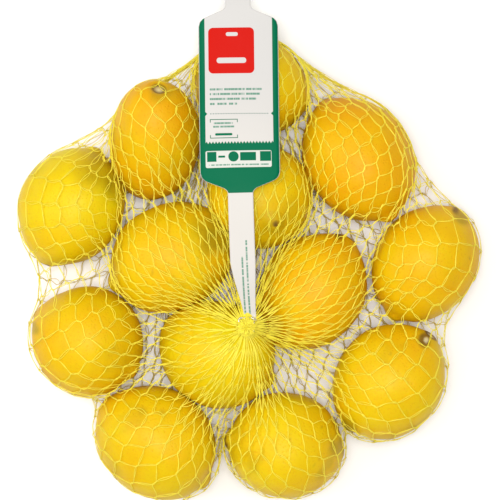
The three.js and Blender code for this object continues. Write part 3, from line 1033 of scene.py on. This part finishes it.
tagMaterial = makeTagMaterial()


def tagRoute():
    beside = bunch["radius"] + bunch["clearance"] + 0.25
    fx, fy, fz = frontPole
    ex, ey, ez = endPole
    end = tag["loopEnd"]
    controls = [
        (fx, fy + beside, fz + clip["length"] + 1),
        (fx, fy + beside, fz + 2),
        (fx, fy + beside, fz + 0.2),
        (fx, fy + beside + 1.3, fz - 1.8),
        (-2.5, -31.0, 54.6),
        (-3.5, -14.0, 60.6),
        (-4.4, 8.0, 63.9),
        (-5.1, 30.0, 65.6),
        (-5.7, 60.0, 63.0),
        (-6.1, 93.0, 60.2),
        (-6.4, 120.0, 59.4),
        (-6.6, 138.0, 59.0),
        (-6.5, 155.0, 55.5),
        (-6.3, end - 1, 47.0),
        (-6.1, end - 5, 38.5),
        (-5.8, ey + 26.0, ez + 8.2),
        (ex, ey + 15.5, ez + 6.8),
        (ex, ey + 11.1, ez + 6.1),
        (ex, ey + 7.5, ez + 4.7),
        (ex, ey + 4.9, ez + beside + 0.2),
        (ex, ey + 2.5, ez + beside),
        (ex, ey - 1.1, ez + beside),
    ]
    return splinePoints(controls, 321)


def tagWidth(y, fromEnd, returning):
    share = min(max((fromEnd - tag["plainEnd"]) / tag["narrowing"], 0), 1)
    opened = 0.6 * share + 0.4 * float(smoothStep(share, 0, 1))
    neck = tag["clippedWidth"] + (tag["neckWidth"] - tag["clippedWidth"]) * opened
    if returning:
        return neck
    into = min(y - tag["bodyStart"], tag["bodyEnd"] - y) / tag["shoulder"]
    if into <= 0:
        return neck
    # Hollow at the neck, straight slope, rounded corner into the side.
    bends = [
        (0.0, 0.0), (0.1, 0.035), (0.22, 0.14), (0.34, 0.36),
        (0.5, 0.66), (0.62, 0.85), (0.78, 0.955), (1.0, 1.0),
    ]
    swell = float(np.interp(min(into, 1.0), [b[0] for b in bends], [b[1] for b in bends]))
    return neck + (tag["bodyWidth"] - neck) * swell


def buildTag():
    centre, length = tagRoute()
    tangent = np.gradient(centre, axis=0)
    tangent /= np.linalg.norm(tangent, axis=1)[:, None]
    across = np.array([1.0, 0, 0]) - tangent * tangent[:, :1]
    across /= np.linalg.norm(across, axis=1)[:, None]
    normal = np.cross(across, tangent)
    turn = int(np.argmax(centre[:, 1]))
    bodyAt = float(np.interp(tag["bodyStart"], centre[40:turn, 1], length[40:turn]))
    cells = 20
    bm = bmesh.new()
    layout = bm.loops.layers.uv.new("print")
    edgeLayer = bm.verts.layers.float.new("edgeGap")
    bmesh.ops.create_grid(bm, x_segments=cells, y_segments=len(centre) - 1, size=1)
    measured = {}
    for vert in bm.verts:
        share = vert.co.x / 2 if abs(vert.co.x) > 1 else vert.co.x
        station = round((vert.co.y + 1) / 2 * (len(centre) - 1))
        fromEnd = min(length[station], length[-1] - length[station])
        width = tagWidth(centre[station, 1], fromEnd, station > turn)
        aside = share * width / 2
        wide = smoothStep(width, tag["neckWidth"], tag["bodyWidth"])
        droop = tag["droop"] * wide * (aside / (tag["bodyWidth"] / 2)) ** 2
        wave = 0.35 * wide * noise.noise(Vector((aside * 0.04, length[station] * 0.03, 2.0)))
        sway = 0.3 * (tag["neckWidth"] - min(width, tag["neckWidth"])) if station <= turn else 0.0
        placed = centre[station] + across[station] * (aside + sway) + normal[station] * (wave - droop)
        measured[vert] = (aside + sway, length[station] - bodyAt)
        vert[edgeLayer] = (1 - abs(share)) * width / 2
        vert.co = Vector(toScene(placed))
    for face in bm.faces:
        for loop in face.loops:
            aside, along = measured[loop.vert]
            loop[layout].uv = (aside / 100, along / 100)
    bmesh.ops.recalc_face_normals(bm, faces=bm.faces)
    if bm.faces[0].normal.dot(Vector(normal[0])) < 0:
        bmesh.ops.reverse_faces(bm, faces=bm.faces)
    bmesh.ops.solidify(bm, geom=bm.faces[:], thickness=tag["thickness"] / 1000)
    bmesh.ops.recalc_face_normals(bm, faces=bm.faces)
    mesh = bpy.data.meshes.new("tag_strip")
    bm.to_mesh(mesh)
    bm.free()
    return addPiece("tag_strip", mesh, tagMaterial, "tag_paper", "tag")


buildTag()
print("tag made")

# Softboxes: name, place and size in metres, power in watts.
studio = {
    "floor": (252, 252, 252),
    "world": 0.42,
    "softboxes": [
        ("overhead_softbox", (-0.1, 0.05, 1.5), 1.0, 4.6),
        ("down_softbox", (0.0, 0.0, 1.45), 0.4, 11.9),
        ("left_softbox", (-1.0, 0.1, 1.05), 0.7, 5.4),
    ],
}


def makeFloorMaterial():
    material, tree, shader = newMaterial("paleFloor")
    grain = useGroup(tree, grainGroup, {"blotchSize": 3.0, "grainSize": 300.0, "bumpHeight": 0.00002})
    share = maths(tree, "MULTIPLY", grain.outputs["blotch"], 0.1)
    colour = mixColour(tree, share, fromSrgb(studio["floor"]), fromSrgb((240, 240, 240)))
    tree.links.new(colour, shader.inputs["Base Color"])
    tree.links.new(grain.outputs["normal"], shader.inputs["Normal"])
    shader.inputs["Roughness"].default_value = 0.9
    return material


floorMaterial = makeFloorMaterial()


def addFloor():
    bm = bmesh.new()
    bmesh.ops.create_grid(bm, x_segments=1, y_segments=1, size=3.0)
    mesh = bpy.data.meshes.new("floor")
    bm.to_mesh(mesh)
    bm.free()
    floor = bpy.data.objects.new("floor", mesh)
    scene.collection.objects.link(floor)
    mesh.materials.append(floorMaterial)


def addLight(name, place, size, power):
    data = bpy.data.lights.new(name, "AREA")
    data.shape = "DISK"
    data.size = size
    data.energy = power
    light = bpy.data.objects.new(name, data)
    scene.collection.objects.link(light)
    light.location = place
    light.rotation_euler = (Vector((0, 0, 0.02)) - light.location).to_track_quat("-Z", "Y").to_euler()


def addWorld():
    world = bpy.data.worlds.new("studio")
    scene.world = world
    world.use_nodes = True
    background = world.node_tree.nodes["Background"]
    background.inputs["Color"].default_value = (1, 1, 1, 1)
    background.inputs["Strength"].default_value = studio["world"]


camera = {"height": 1100.0, "frameWidth": 280.0, "frameHeight": 30.0}


def addCamera():
    data = bpy.data.cameras.new("camera")
    view = bpy.data.objects.new("camera", data)
    scene.collection.objects.link(view)
    distance = camera["height"] - camera["frameHeight"]
    data.sensor_width = 36.0
    data.lens = 36.0 * distance / camera["frameWidth"]
    data.clip_start = 0.05
    data.clip_end = 20.0
    view.location = toScene((0.0, 0.0, camera["height"]))
    scene.camera = view


addFloor()
addWorld()

for name, place, size, power in studio["softboxes"]:
    addLight(name, place, size, power)

addCamera()
scene.view_settings.view_transform = "Standard"
scene.view_settings.look = "None"
print("stage set")
